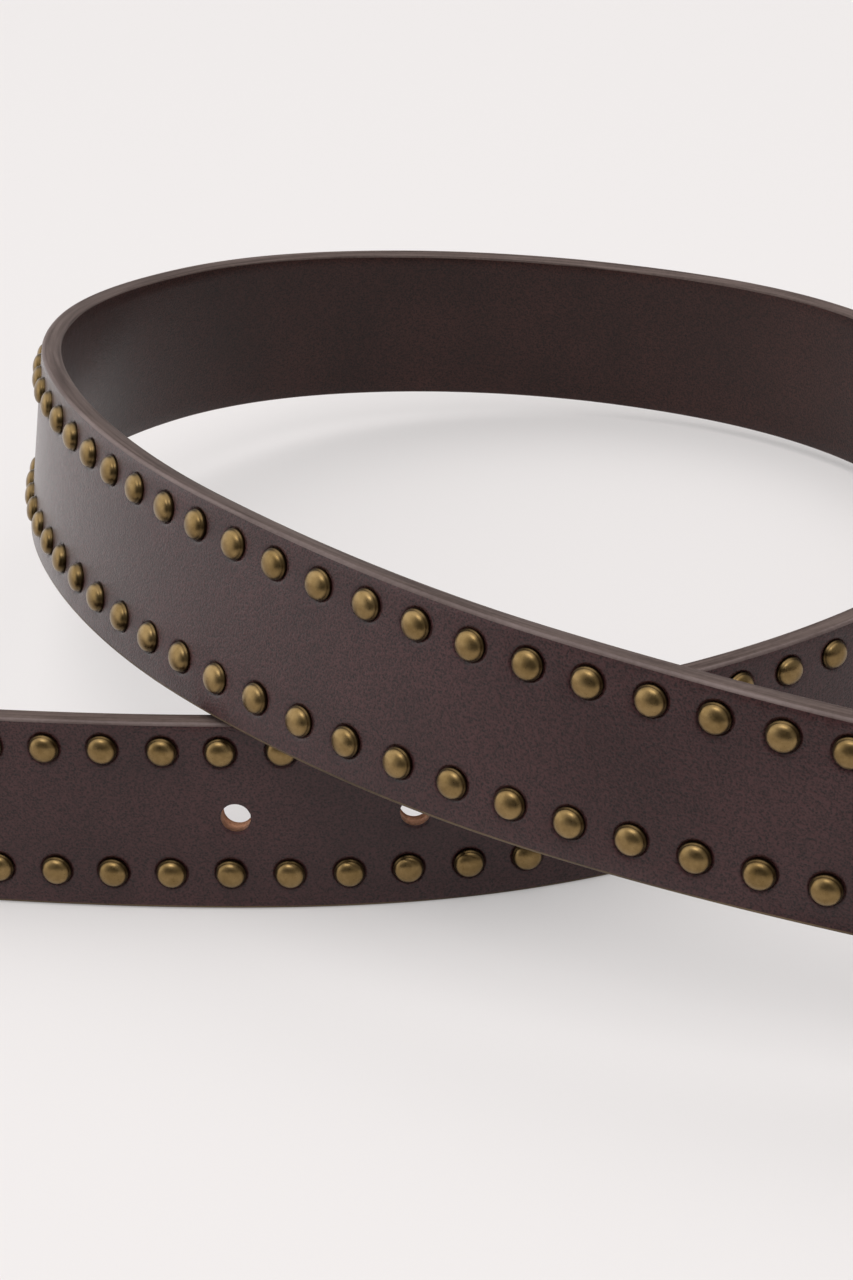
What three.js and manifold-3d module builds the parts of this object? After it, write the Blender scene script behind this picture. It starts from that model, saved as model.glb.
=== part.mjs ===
import * as THREE from 'three';
import { mergeVertices } from 'three/addons/utils/BufferGeometryUtils.js';
import Module from 'manifold-3d';

// A studded leather belt, standing on its edge with the studs outside. The tail with the prong
// holes runs along the front, the strap bends round behind it and comes back on the left, and the
// buckle end crosses over the tail's upper edge and comes down to the ground on the right.
// Millimetres, +Z up. The tail faces -Y. The origin is under the middle of the whole belt.

// Strap
const STRAP_WIDTH = 30;
const STRAP_THICKNESS = 3.2;
const EDGE_BEVEL = 0.8;
const TIP_PITCHES = 1.5;
const TIP_STEPS = 4;

// Studs: two rows of pairs, set square across the strap, a little nearer to its upper edge
const STUD_PITCH = 8.7;
const STUD_PAIRS = 111;
const LOWER_INSET = 5.8;
const UPPER_INSET = 4.2;
const STUD_DIAMETER = 4.5;
const STUD_SHOULDER = 0.9;
const STUD_TAPER = 0.92;
const STUD_HEIGHT = 1.6;
const STUD_SIDES = 10;

// Prong holes, on the centre line: each is shifted a little past the middle of its pair
const HOLE_COUNT = 5;
const HOLE_DIAMETER = 4.5;
const HOLE_SIDES = 12;
const HOLE_SHIFT = 1.4;
const LEAD_PAIRS = 8;
const HOLE_PAIRS = 3;

// Fold at the buckle: the end of the strap goes round the bar and is bonded to the inner face
const FOLD_LENGTH = 28;
const FLAP_PAIRS = 2;
const EYE_CLEARANCE = 0.35;
const EYE_SIDES = 12;
const EYE_ROOT = 24;
const EYE_ROOT_HALF = 1;
const EYE_OVERLAP = 8;
const SLOT_CLEARANCE = 0.9;
const SLOT_DEPTH = 3.5;
const CUT_OVERRUN = 1;

// Buckle: a round-wire frame with its bar and prong in one piece
const WIRE_DIAMETER = 4;
const WIRE_SIDES = 8;
const FRAME_LENGTH = 24;
const FRAME_CLEARANCE = 0.8;
const FAR_CORNER = 7;
const FAR_CORNER_STEPS = 4;
const BAR_CORNER = 2.6;
const BAR_CORNER_STEPS = 2;
const PRONG_DIAMETER = 3;
const PRONG_TAPER = 0.7;
const PRONG_SINK = 0.4;

// Where the strap crosses its own tail it rests on the tail's upper edge, all but this gap
const REST_GAP = 0.5;

const LEATHER = 0x3c2d2f;
const BRASS = 0x96804e;

const TIP_LENGTH = TIP_PITCHES * STUD_PITCH;
const STRAP_LENGTH = TIP_LENGTH + STUD_PAIRS * STUD_PITCH + FOLD_LENGTH;
const HALF_WIDTH = STRAP_WIDTH / 2;
const LOWER_ROW = LOWER_INSET - HALF_WIDTH;
const UPPER_ROW = HALF_WIDTH - UPPER_INSET;
const WIRE_RADIUS = WIRE_DIAMETER / 2;
const SIDE_OFFSET = HALF_WIDTH + FRAME_CLEARANCE + WIRE_RADIUS;
const BUCKLE_OVERHANG = SIDE_OFFSET + WIRE_RADIUS - HALF_WIDTH;
const CROSSING_LIFT = STRAP_WIDTH + REST_GAP;

// The route of the strap's outer face, from the tip to the bar. `at` is a percentage of the length.
// `heading` is the way the strap runs, in degrees turned from +X towards +Y. The lower edge stands
// `rise` times the lift at the crossing above the ground, and `perch` times the overhang of the
// buckle. `lean` tips the upper edge outwards, in degrees, so the negative ones tip it inwards.
const ROUTE = [
  { at: 0, heading: -15, rise: 0, perch: 0, lean: -3 },
  { at: 5, heading: -12, rise: 0, perch: 0, lean: -3 },
  { at: 10, heading: -2.5, rise: 0, perch: 0, lean: -2 },
  { at: 15, heading: 20, rise: 0, perch: 0, lean: -1.5 },
  { at: 20, heading: 43, rise: 0, perch: 0, lean: -1 },
  { at: 26, heading: 84, rise: 0.04, perch: 0, lean: 0 },
  { at: 32, heading: 121, rise: 0.07, perch: 0, lean: -1.5 },
  { at: 38, heading: 159, rise: 0.1, perch: 0, lean: -5 },
  { at: 43, heading: 191.5, rise: 0.235, perch: 0, lean: -6 },
  { at: 48, heading: 233, rise: 0.46, perch: 0, lean: -7.5 },
  { at: 53, heading: 264, rise: 0.72, perch: 0, lean: -8.5 },
  { at: 58, heading: 284.5, rise: 0.945, perch: 0, lean: -11 },
  { at: 64, heading: 307, rise: 1.01, perch: 0, lean: -14 },
  { at: 70, heading: 328.5, rise: 0.885, perch: 0, lean: -9 },
  { at: 75, heading: 341.5, rise: 0.71, perch: 0, lean: -2 },
  { at: 82, heading: 354, rise: 0.38, perch: 0.3, lean: 0 },
  { at: 88, heading: 359, rise: 0.08, perch: 0.75, lean: 0 },
  { at: 93, heading: 360, rise: 0, perch: 1, lean: 0 },
  { at: 100, heading: 360, rise: 0, perch: 1, lean: 0 },
];

// The climb at a place is taken from this far before it to this far past it
const SLOPE_REACH = 0.5;

const wasm = await Module();
wasm.setup();

// A smooth curve through one column of the route, level wherever the column stops or turns back
function routeSlope(row, column) {
  const here = ROUTE[row];
  const before = ROUTE[Math.max(row - 1, 0)];
  const after = ROUTE[Math.min(row + 1, ROUTE.length - 1)];
  if (row === 0) return (after[column] - here[column]) / (after.at - here.at);
  if (row === ROUTE.length - 1) return (here[column] - before[column]) / (here.at - before.at);
  const back = here.at - before.at;
  const ahead = after.at - here.at;
  const slopeBack = (here[column] - before[column]) / back;
  const slopeAhead = (after[column] - here[column]) / ahead;
  if (slopeBack * slopeAhead <= 0) return 0;
  return (slopeBack * ahead + slopeAhead * back) / (back + ahead);
}

function routeValue(length, column) {
  const at = (100 * length) / STRAP_LENGTH;
  let row = 0;
  while (row < ROUTE.length - 2 && ROUTE[row + 1].at <= at) row += 1;
  const span = ROUTE[row + 1].at - ROUTE[row].at;
  const t = (at - ROUTE[row].at) / span;
  const start = ROUTE[row][column];
  const end = ROUTE[row + 1][column];
  const leave = routeSlope(row, column) * span;
  const arrive = routeSlope(row + 1, column) * span;
  const cubic = 2 * (start - end) + leave + arrive;
  const square = 3 * (end - start) - 2 * leave - arrive;
  return ((cubic * t + square) * t + leave) * t + start;
}

function leanAt(length) {
  return THREE.MathUtils.degToRad(routeValue(length, 'lean'));
}

// Height of the middle of the outer face, so that the lowest arris of the strap has the lift
function middleHeight(length) {
  const lift = CROSSING_LIFT * routeValue(length, 'rise') + BUCKLE_OVERHANG * routeValue(length, 'perch');
  const lean = leanAt(length);
  return lift + HALF_WIDTH * Math.cos(lean) + STRAP_THICKNESS * Math.max(0, -Math.sin(lean));
}

// Directions at a place on the strap: along it, across it upwards, and out of the studded face
function directions(length) {
  const heading = THREE.MathUtils.degToRad(routeValue(length, 'heading'));
  const lean = leanAt(length);
  const gain = middleHeight(length + SLOPE_REACH) - middleHeight(length - SLOPE_REACH);
  const climb = gain / (2 * SLOPE_REACH);
  const level = Math.sqrt(1 - climb * climb);
  const along = new THREE.Vector3(level * Math.cos(heading), level * Math.sin(heading), climb);
  const outUpright = new THREE.Vector3(Math.sin(heading), -Math.cos(heading), 0);
  const upUpright = new THREE.Vector3().crossVectors(outUpright, along);
  const across = upUpright.clone().multiplyScalar(Math.cos(lean)).addScaledVector(outUpright, Math.sin(lean));
  const out = outUpright.clone().multiplyScalar(Math.cos(lean)).addScaledVector(upUpright, -Math.sin(lean));
  return { along, across, out };
}

// Plan positions of the middle of the outer face, added up in short steps from the tip
const TRAIL_STEPS = Math.ceil(STRAP_LENGTH);
const TRAIL_STEP = STRAP_LENGTH / TRAIL_STEPS;
const trail = [new THREE.Vector3(0, 0, middleHeight(0))];
for (let i = 0; i < TRAIL_STEPS; i += 1) {
  const { along } = directions((i + 0.5) * TRAIL_STEP);
  const next = trail[i].clone().addScaledVector(along, TRAIL_STEP);
  next.z = middleHeight((i + 1) * TRAIL_STEP);
  trail.push(next);
}

function middle(length) {
  const step = Math.min(Math.max(length / TRAIL_STEP, 0), TRAIL_STEPS);
  const i = Math.min(Math.floor(step), TRAIL_STEPS - 1);
  return trail[i].clone().lerp(trail[i + 1], step - i);
}

// The bent place of a point given along the strap, across it from the centre line, and out of it
function bent(length, across, out) {
  const way = directions(length);
  return middle(length).addScaledVector(way.across, across).addScaledVector(way.out, out);
}

// Triangles of a flat face with holes, as corners [along, across], turned one way round
function flatFace(contour, holes) {
  const corners = [contour, ...holes].flat();
  return THREE.ShapeUtils.triangulateShape(contour, holes).map((face) => {
    const [a, b, c] = face.map((index) => corners[index]);
    const turn = (b.x - a.x) * (c.y - a.y) - (b.y - a.y) * (c.x - a.x);
    return turn > 0 ? [a, b, c] : [a, c, b];
  });
}

function circle(x, y, radius, sides) {
  const points = [];
  for (let i = 0; i < sides; i += 1) {
    const angle = (2 * Math.PI * (i + 0.5)) / sides;
    points.push(new THREE.Vector2(x + radius * Math.cos(angle), y + radius * Math.sin(angle)));
  }
  return points;
}

// Corner points of the strap's section, [across, out], from the lower inner arris round to the upper
function sectionPoints(halfWidth, thickness) {
  return [
    [-halfWidth, -thickness],
    [-halfWidth, -EDGE_BEVEL],
    [-halfWidth + EDGE_BEVEL, 0],
    [halfWidth - EDGE_BEVEL, 0],
    [halfWidth, -EDGE_BEVEL],
    [halfWidth, -thickness],
  ];
}
const OUTER_FACE = 2;
const INNER_FACE = 5;

// Sections in order along the strap: the round tip, the edges of every stud's cell, the fold's end
function strapSections() {
  const sections = [];
  for (let i = 0; i < TIP_STEPS; i += 1) {
    const angle = ((i + 0.5) / TIP_STEPS) * (Math.PI / 2);
    const at = TIP_LENGTH * (1 - Math.cos(angle));
    sections.push({ at, points: sectionPoints(HALF_WIDTH * Math.sin(angle), STRAP_THICKNESS) });
  }
  for (let i = 0; i <= STUD_PAIRS; i += 1) {
    const layers = i > STUD_PAIRS - FLAP_PAIRS ? 2 : 1;
    const at = TIP_LENGTH + i * STUD_PITCH;
    const section = { at, points: sectionPoints(HALF_WIDTH, layers * STRAP_THICKNESS) };
    if (i < STUD_PAIRS) section.pair = i;
    sections.push(section);
  }
  const end = STRAP_LENGTH - EYE_OVERLAP;
  sections.push({ at: end, points: sectionPoints(HALF_WIDTH, 2 * STRAP_THICKNESS) });
  return sections;
}

function hasHole(pair) {
  const past = pair - LEAD_PAIRS;
  return past >= 0 && past % HOLE_PAIRS === 0 && past / HOLE_PAIRS < HOLE_COUNT;
}

function strapGeometry() {
  const positions = [];
  const triangle = (a, b, c) => {
    for (const corner of [a, b, c]) positions.push(...bent(...corner).toArray());
  };
  const quad = (a, b, c, d) => {
    triangle(a, b, c);
    triangle(a, c, d);
  };
  const faceOut = (faces, out) => {
    for (const face of faces) triangle(...face.map((corner) => [corner.x, corner.y, out]));
  };
  const wall = (low, lowOut, high, highOut) => {
    low.forEach((point, i) => {
      const next = (i + 1) % low.length;
      const lowSide = [[point.x, point.y, lowOut], [low[next].x, low[next].y, lowOut]];
      const highSide = [[high[next].x, high[next].y, highOut], [high[i].x, high[i].y, highOut]];
      quad(...lowSide, ...highSide);
    });
  };

  const studAt = (x, y) => {
    const radius = STUD_DIAMETER / 2;
    const base = circle(x, y, radius, STUD_SIDES);
    const shoulder = circle(x, y, radius * STUD_TAPER, STUD_SIDES);
    wall(base, 0, shoulder, STUD_SHOULDER);
    shoulder.forEach((point, i) => {
      const next = shoulder[(i + 1) % STUD_SIDES];
      triangle([point.x, point.y, STUD_SHOULDER], [next.x, next.y, STUD_SHOULDER], [x, y, STUD_HEIGHT]);
    });
    return base;
  };

  const sections = strapSections();
  for (let i = 0; i < sections.length - 1; i += 1) {
    const near = sections[i];
    const far = sections[i + 1];
    const place = (section, k) => [section.at, ...section.points[k % section.points.length]];
    const cell = (k) => [place(near, k), place(far, k), place(far, k + 1), place(near, k + 1)];
    const outline = (k) => cell(k).map(([x, y]) => new THREE.Vector2(x, y));
    const paired = near.pair !== undefined;
    const pairAt = near.at + STUD_PITCH / 2;
    const holed = paired && hasHole(near.pair);
    const hole = circle(pairAt + HOLE_SHIFT, 0, HOLE_DIAMETER / 2, HOLE_SIDES);
    for (let k = 0; k < near.points.length; k += 1) {
      if (k === OUTER_FACE && paired) {
        const openings = [studAt(pairAt, LOWER_ROW), studAt(pairAt, UPPER_ROW)];
        if (holed) openings.push(hole);
        faceOut(flatFace(outline(k), openings), 0);
      } else if (k === INNER_FACE && holed) {
        const inner = flatFace(outline(k), [hole]).map(([a, b, c]) => [a, c, b]);
        faceOut(inner, -STRAP_THICKNESS);
        const inward = [...hole].reverse();
        wall(inward, -STRAP_THICKNESS, inward, 0);
      } else {
        quad(...cell(k));
      }
    }
  }

  const cap = (section, order) => {
    const corners = order(section.points.map((point) => [section.at, ...point]));
    for (let k = 1; k < corners.length - 1; k += 1) triangle(corners[0], corners[k], corners[k + 1]);
  };
  cap(sections[0], (corners) => corners);
  cap(sections[sections.length - 1], (corners) => corners.reverse());

  const geometry = new THREE.BufferGeometry();
  geometry.setAttribute('position', new THREE.Float32BufferAttribute(positions, 3));
  return mergeVertices(geometry, 1e-4);
}

// Closed meshes to solids and back
function solid(geometry) {
  const bare = geometry.clone();
  bare.deleteAttribute('normal');
  bare.deleteAttribute('uv');
  const merged = mergeVertices(bare, 1e-4);
  const vertProperties = new Float32Array(merged.attributes.position.array);
  const triVerts = new Uint32Array(merged.index.array);
  return new wasm.Manifold(new wasm.Mesh({ numProp: 3, vertProperties, triVerts }));
}

function meshOf(body, name, material) {
  const data = body.getMesh();
  const geometry = new THREE.BufferGeometry();
  geometry.setAttribute('position', new THREE.Float32BufferAttribute(data.vertProperties, 3));
  geometry.setIndex([...data.triVerts]);
  geometry.computeVertexNormals();
  const mesh = new THREE.Mesh(geometry, material);
  mesh.name = name;
  return mesh;
}

// The bar's own frame: x along the strap past the bar, y across it upwards, z out of its face
const barWay = directions(STRAP_LENGTH);
const barMatrix = new THREE.Matrix4().makeBasis(barWay.along, barWay.across, barWay.out);
barMatrix.setPosition(bent(STRAP_LENGTH, 0, -STRAP_THICKNESS));

// The fold round the bar: a tapering tongue with an eye, slotted in the middle for the prong
function eyeSolid() {
  const barCorner = WIRE_RADIUS / Math.cos(Math.PI / WIRE_SIDES);
  const eyeRadius = (barCorner + EYE_CLEARANCE) / Math.cos(Math.PI / EYE_SIDES);
  const outerRadius = eyeRadius + STRAP_THICKNESS;
  const rootDistance = Math.hypot(EYE_ROOT, EYE_ROOT_HALF);
  const rootAngle = Math.atan2(EYE_ROOT_HALF, -EYE_ROOT);
  const touch = rootAngle - Math.acos(outerRadius / rootDistance);
  const side = new THREE.Shape();
  side.moveTo(-EYE_ROOT, -EYE_ROOT_HALF);
  side.absarc(0, 0, outerRadius, -touch, touch, false);
  side.lineTo(-EYE_ROOT, EYE_ROOT_HALF);
  side.closePath();
  const eye = new THREE.Path();
  eye.absarc(0, 0, eyeRadius, 0, 2 * Math.PI, true);
  side.holes.push(eye);
  const width = STRAP_WIDTH - 2 * EDGE_BEVEL;
  const options = { depth: width, bevelEnabled: false, curveSegments: EYE_SIDES };
  const tongue = new THREE.ExtrudeGeometry(side, options);
  tongue.rotateX(Math.PI / 2);
  tongue.translate(0, width / 2, 0);
  const slotWidth = PRONG_DIAMETER + 2 * SLOT_CLEARANCE;
  const slotLength = SLOT_DEPTH + outerRadius + CUT_OVERRUN;
  const slot = new THREE.BoxGeometry(slotLength, slotWidth, 2 * (outerRadius + CUT_OVERRUN));
  slot.translate(slotLength / 2 - SLOT_DEPTH, 0, 0);
  tongue.applyMatrix4(barMatrix);
  slot.applyMatrix4(barMatrix);
  return { tongue: solid(tongue), slot: solid(slot) };
}

// The frame's centre line: a rectangle with its corners rounded, as points with their outward way
function frameLine() {
  const line = [];
  const corner = (x, y, radius, from, steps) => {
    for (let i = 0; i <= steps; i += 1) {
      const angle = from + (i / steps) * (Math.PI / 2);
      const way = new THREE.Vector2(Math.cos(angle), Math.sin(angle));
      line.push({ x: x + radius * way.x, y: y + radius * way.y, way });
    }
  };
  const farX = FRAME_LENGTH - FAR_CORNER;
  const farY = SIDE_OFFSET - FAR_CORNER;
  const barY = SIDE_OFFSET - BAR_CORNER;
  corner(farX, farY, FAR_CORNER, 0, FAR_CORNER_STEPS);
  corner(BAR_CORNER, barY, BAR_CORNER, Math.PI / 2, BAR_CORNER_STEPS);
  corner(BAR_CORNER, -barY, BAR_CORNER, Math.PI, BAR_CORNER_STEPS);
  corner(farX, -farY, FAR_CORNER, 1.5 * Math.PI, FAR_CORNER_STEPS);
  return line;
}

function frameGeometry() {
  const line = frameLine();
  const positions = [];
  const index = [];
  const reach = WIRE_RADIUS / Math.cos(Math.PI / WIRE_SIDES);
  for (const { x, y, way } of line) {
    for (const point of circle(0, 0, reach, WIRE_SIDES)) {
      positions.push(x + way.x * point.x, y + way.y * point.x, point.y);
    }
  }
  for (let i = 0; i < line.length; i += 1) {
    for (let k = 0; k < WIRE_SIDES; k += 1) {
      const a = i * WIRE_SIDES + k;
      const b = i * WIRE_SIDES + ((k + 1) % WIRE_SIDES);
      const c = ((i + 1) % line.length) * WIRE_SIDES + ((k + 1) % WIRE_SIDES);
      const d = ((i + 1) % line.length) * WIRE_SIDES + k;
      index.push(a, d, c, a, c, b);
    }
  }
  const geometry = new THREE.BufferGeometry();
  geometry.setAttribute('position', new THREE.Float32BufferAttribute(positions, 3));
  geometry.setIndex(index);
  return geometry;
}

// The prong runs from inside the bar to the far side of the frame and rests on its outer side
function prongGeometry() {
  const radius = PRONG_DIAMETER / 2;
  const lift = WIRE_RADIUS + radius * PRONG_TAPER - PRONG_SINK;
  const end = new THREE.Vector3(FRAME_LENGTH + radius, 0, lift);
  const prong = new THREE.CylinderGeometry(radius * PRONG_TAPER, radius, end.length(), WIRE_SIDES);
  prong.translate(0, end.length() / 2, 0);
  const turn = new THREE.Quaternion().setFromUnitVectors(new THREE.Vector3(0, 1, 0), end.clone().normalize());
  prong.applyQuaternion(turn);
  return prong;
}

const leather = new THREE.MeshStandardMaterial({ color: LEATHER, roughness: 0.55, metalness: 0 });
const brass = new THREE.MeshStandardMaterial({ color: BRASS, roughness: 0.35, metalness: 1 });

const eye = eyeSolid();
const strap = solid(strapGeometry()).add(eye.tongue).subtract(eye.slot);
const frame = frameGeometry().applyMatrix4(barMatrix);
const prong = prongGeometry().applyMatrix4(barMatrix);

const belt = new THREE.Group();
belt.add(meshOf(strap, 'studded_strap', leather));
belt.add(meshOf(solid(frame).add(solid(prong)), 'buckle', brass));

const extent = new THREE.Box3().setFromObject(belt);
const centre = extent.getCenter(new THREE.Vector3());
belt.position.set(-centre.x, -centre.y, -extent.min.z);

export default belt;
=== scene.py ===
import math
import random

import bpy
import numpy as np
from mathutils import Matrix, Vector


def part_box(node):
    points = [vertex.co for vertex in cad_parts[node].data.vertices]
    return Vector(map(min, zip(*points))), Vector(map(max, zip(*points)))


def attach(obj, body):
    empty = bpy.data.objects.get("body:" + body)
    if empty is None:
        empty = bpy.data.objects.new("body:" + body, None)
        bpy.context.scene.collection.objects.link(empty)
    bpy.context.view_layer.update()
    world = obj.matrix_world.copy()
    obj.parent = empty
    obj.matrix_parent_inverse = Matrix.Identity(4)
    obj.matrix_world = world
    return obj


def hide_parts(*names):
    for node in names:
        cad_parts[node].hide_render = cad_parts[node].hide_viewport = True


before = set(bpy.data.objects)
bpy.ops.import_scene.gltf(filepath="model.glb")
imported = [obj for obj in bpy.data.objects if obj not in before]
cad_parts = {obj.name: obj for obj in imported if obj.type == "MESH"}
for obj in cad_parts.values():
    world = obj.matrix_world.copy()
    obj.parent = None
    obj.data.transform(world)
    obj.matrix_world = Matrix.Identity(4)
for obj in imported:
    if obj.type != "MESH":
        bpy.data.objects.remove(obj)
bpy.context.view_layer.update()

# A studded leather belt standing on its edge. Sizes are in millimetres until a mesh is made.
MM = 0.001
UV_PER_MM = 0.01
SEED = 11
FULL_TURN = 6.28

# Strap
STRAP_WIDTH = 30.0
STRAP_THICKNESS = 3.2
EDGE_ROUND = 0.45
EDGE_SWELL = 0.35
EDGE_ARC_STEPS = 4
INNER_ROUND = 0.3
HALF_WIDTH = STRAP_WIDTH / 2
LOWER_EDGE = -HALF_WIDTH
UPPER_EDGE = HALF_WIDTH + EDGE_SWELL
TIP_PITCHES = 1.5

# Studs and prong holes
STUD_PITCH = 8.7
STUD_PAIRS = 111
LOWER_INSET = 5.8
UPPER_INSET = 4.2
STUD_DIAMETER = 4.5
STUD_HEIGHT = 1.5
STUD_SHOULDER = 0.36
HOLE_COUNT = 5
HOLE_DIAMETER = 4.5
HOLE_SHIFT = 1.4
LEAD_PAIRS = 8
HOLE_PAIRS = 3
LOWER_ROW = LOWER_INSET - HALF_WIDTH
UPPER_ROW = HALF_WIDTH - UPPER_INSET
TIP_LENGTH = TIP_PITCHES * STUD_PITCH

# The dimple that each stud is pressed into: rings from the flat face inwards, as [distance beyond
# the stud's wall, share of the depth]
DIMPLE_DEPTH = 0.28
DIMPLE_RINGS = ((0.8, 0.0), (0.45, 0.1), (0.22, 0.4), (0.08, 1.0), (-0.1, 1.15))

# A prong hole's rounded rims on the face and on the back, as [distance beyond the wall, depth]
HOLE_RIM = ((0.4, 0.0), (0.18, 0.06), (0.0, 0.26))
HOLE_BACK_RIM = ((0.3, 0.0), (0.0, 0.1))

# How far single studs depart from their even places: millimetres, a share of the dimple, degrees
RUN_JITTER = 0.12
ROW_JITTER = 0.1
DEPTH_JITTER = 0.2
TILT_SPREAD = 1.6
SINK_JITTER = 0.06
STUD_SEAT = 0.12

# Buckle and the fold round its bar
FOLD_LENGTH = 28.0
FLAP_LENGTH = 44.0
WIRE_RADIUS = 2.0
FRAME_LENGTH = 24.0
FRAME_CLEARANCE = 0.8
FAR_CORNER = 7.0
BAR_CORNER = 2.6
PRONG_RADIUS = 1.5
EYE_CLEARANCE = 0.45
BAR_SIDES = 8
FOLD_SWEEP = 12.0
SLOT_HALF = 2.4
SLOT_BACK = 3.5
FLAP_SKIVE = 10.0
FLAP_END_THICKNESS = 0.9
STRAP_LENGTH = TIP_LENGTH + STUD_PAIRS * STUD_PITCH + FOLD_LENGTH
SIDE_OFFSET = HALF_WIDTH + FRAME_CLEARANCE + WIRE_RADIUS
BUCKLE_OVERHANG = SIDE_OFFSET + WIRE_RADIUS - HALF_WIDTH
REST_GAP = 0.5
CROSSING_LIFT = STRAP_WIDTH + REST_GAP

# The strap's route, as in the model: percentage of the length, heading, rise, perch and lean
ROUTE = np.array([
    (0, -15, 0, 0, -3),
    (5, -12, 0, 0, -3),
    (10, -2.5, 0, 0, -2),
    (15, 20, 0, 0, -1.5),
    (20, 43, 0, 0, -1),
    (26, 84, 0.04, 0, 0),
    (32, 121, 0.07, 0, -1.5),
    (38, 159, 0.1, 0, -5),
    (43, 191.5, 0.235, 0, -6),
    (48, 233, 0.46, 0, -7.5),
    (53, 264, 0.72, 0, -8.5),
    (58, 284.5, 0.945, 0, -11),
    (64, 307, 1.01, 0, -14),
    (70, 328.5, 0.885, 0, -9),
    (75, 341.5, 0.71, 0, -2),
    (82, 354, 0.38, 0.3, 0),
    (88, 359, 0.08, 0.75, 0),
    (93, 360, 0, 1, 0),
    (100, 360, 0, 1, 0),
])
HEADING, RISE, PERCH, LEAN = 1, 2, 3, 4
HALF_STEP = 0.5


def route_value(length, column):
    """A smooth curve through one column of the route, level where the column stops or turns."""
    at, value = ROUTE[:, 0], ROUTE[:, column]
    step = np.diff(at)
    secant = np.diff(value) / step
    back, ahead = step[:-1], step[1:]
    inner = (secant[:-1] * ahead + secant[1:] * back) / (back + ahead)
    inner = np.where(secant[:-1] * secant[1:] <= 0, 0, inner)
    slope = np.concatenate([secant[:1], inner, secant[-1:]])
    where = 100 * np.asarray(length, float) / STRAP_LENGTH
    row = np.clip(np.searchsorted(at, where, side="right") - 1, 0, len(at) - 2)
    t = (where - at[row]) / step[row]
    start, end = value[row], value[row + 1]
    leave, arrive = slope[row] * step[row], slope[row + 1] * step[row]
    cubic = 2 * (start - end) + leave + arrive
    square = 3 * (end - start) - 2 * leave - arrive
    return ((cubic * t + square) * t + leave) * t + start


def middle_height(length):
    lift = CROSSING_LIFT * route_value(length, RISE) + BUCKLE_OVERHANG * route_value(length, PERCH)
    lean = np.radians(route_value(length, LEAN))
    return lift + HALF_WIDTH * np.cos(lean) + STRAP_THICKNESS * np.maximum(0, -np.sin(lean))


def directions(length):
    """Unit vectors along the strap, across it upwards and out of its studded face."""
    length = np.asarray(length, float)
    heading = np.radians(route_value(length, HEADING))
    lean = np.radians(route_value(length, LEAN))[:, None]
    rise = middle_height(length + HALF_STEP) - middle_height(length - HALF_STEP)
    climb = rise / (2 * HALF_STEP)
    level = np.sqrt(1 - climb**2)
    along = np.stack([level * np.cos(heading), level * np.sin(heading), climb], 1)
    out_upright = np.stack([np.sin(heading), -np.cos(heading), 0 * heading], 1)
    up_upright = np.cross(out_upright, along)
    across = np.cos(lean) * up_upright + np.sin(lean) * out_upright
    out = np.cos(lean) * out_upright - np.sin(lean) * up_upright
    return along, across, out


def make_trail():
    count = math.ceil(STRAP_LENGTH)
    step = STRAP_LENGTH / count
    along = directions((np.arange(count) + 0.5) * step)[0]
    plan = np.concatenate([[[0, 0]], np.cumsum(along[:, :2] * step, axis=0)])
    lengths = np.arange(count + 1) * step
    return lengths, np.column_stack([plan, middle_height(lengths)])


TRAIL_LENGTHS, TRAIL = make_trail()


def middle(length):
    return np.stack([np.interp(length, TRAIL_LENGTHS, TRAIL[:, k]) for k in range(3)], 1)


# The bar's own axes, and the shift that sets the route onto the model's buckle
bar_along, bar_across, bar_out = (way[0] for way in directions([STRAP_LENGTH]))
bar_on_route = middle([STRAP_LENGTH])[0] - STRAP_THICKNESS * bar_out
buckle_low, buckle_high = (np.array(corner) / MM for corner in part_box("buckle"))
SHIFT = np.array([
    buckle_low[0] + WIRE_RADIUS - bar_on_route[0],
    buckle_high[1] - WIRE_RADIUS - bar_on_route[1],
    0,
])
BAR = bar_on_route + SHIFT

# The fold: the outer face sweeps away from the flat, turns round the bar and comes back flat
WRAP_RADIUS = WIRE_RADIUS / math.cos(math.pi / BAR_SIDES) + EYE_CLEARANCE + STRAP_THICKNESS
SWEEP_BACK = math.sqrt((FOLD_SWEEP + WRAP_RADIUS) ** 2 - (FOLD_SWEEP + STRAP_THICKNESS) ** 2)
SWEEP_ANGLE = math.atan2(SWEEP_BACK, FOLD_SWEEP + STRAP_THICKNESS)
FOLD_START = STRAP_LENGTH - SWEEP_BACK
SWEEP_ARC = FOLD_SWEEP * SWEEP_ANGLE
WRAP_ARC = WRAP_RADIUS * (math.pi + 2 * SWEEP_ANGLE)
FLAP_RUN = FLAP_LENGTH - SWEEP_BACK
SHEET_LENGTH = FOLD_START + 2 * SWEEP_ARC + WRAP_ARC + FLAP_RUN


def make_fold():
    """Places along and out from the bar, and turn, of the outer face from the fold's start on."""
    step = 0.02
    run = np.arange(0, SHEET_LENGTH - FOLD_START + 2 * step, step)
    middle_run = run[:-1] + step / 2
    bend = np.zeros(len(middle_run))
    bend[middle_run < SWEEP_ARC] = 1 / FOLD_SWEEP
    wrap = (middle_run >= SWEEP_ARC) & (middle_run < SWEEP_ARC + WRAP_ARC)
    bend[wrap] = -1 / WRAP_RADIUS
    last = (middle_run >= SWEEP_ARC + WRAP_ARC) & (middle_run < 2 * SWEEP_ARC + WRAP_ARC)
    bend[last] = 1 / FOLD_SWEEP
    turn = np.concatenate([[0], np.cumsum(bend * step)])
    mid_turn = (turn[:-1] + turn[1:]) / 2
    x = -SWEEP_BACK + np.concatenate([[0], np.cumsum(np.cos(mid_turn) * step)])
    z = STRAP_THICKNESS + np.concatenate([[0], np.cumsum(np.sin(mid_turn) * step)])
    return run, x, z, turn


FOLD_RUN, FOLD_X, FOLD_Z, FOLD_TURN = make_fold()


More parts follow.
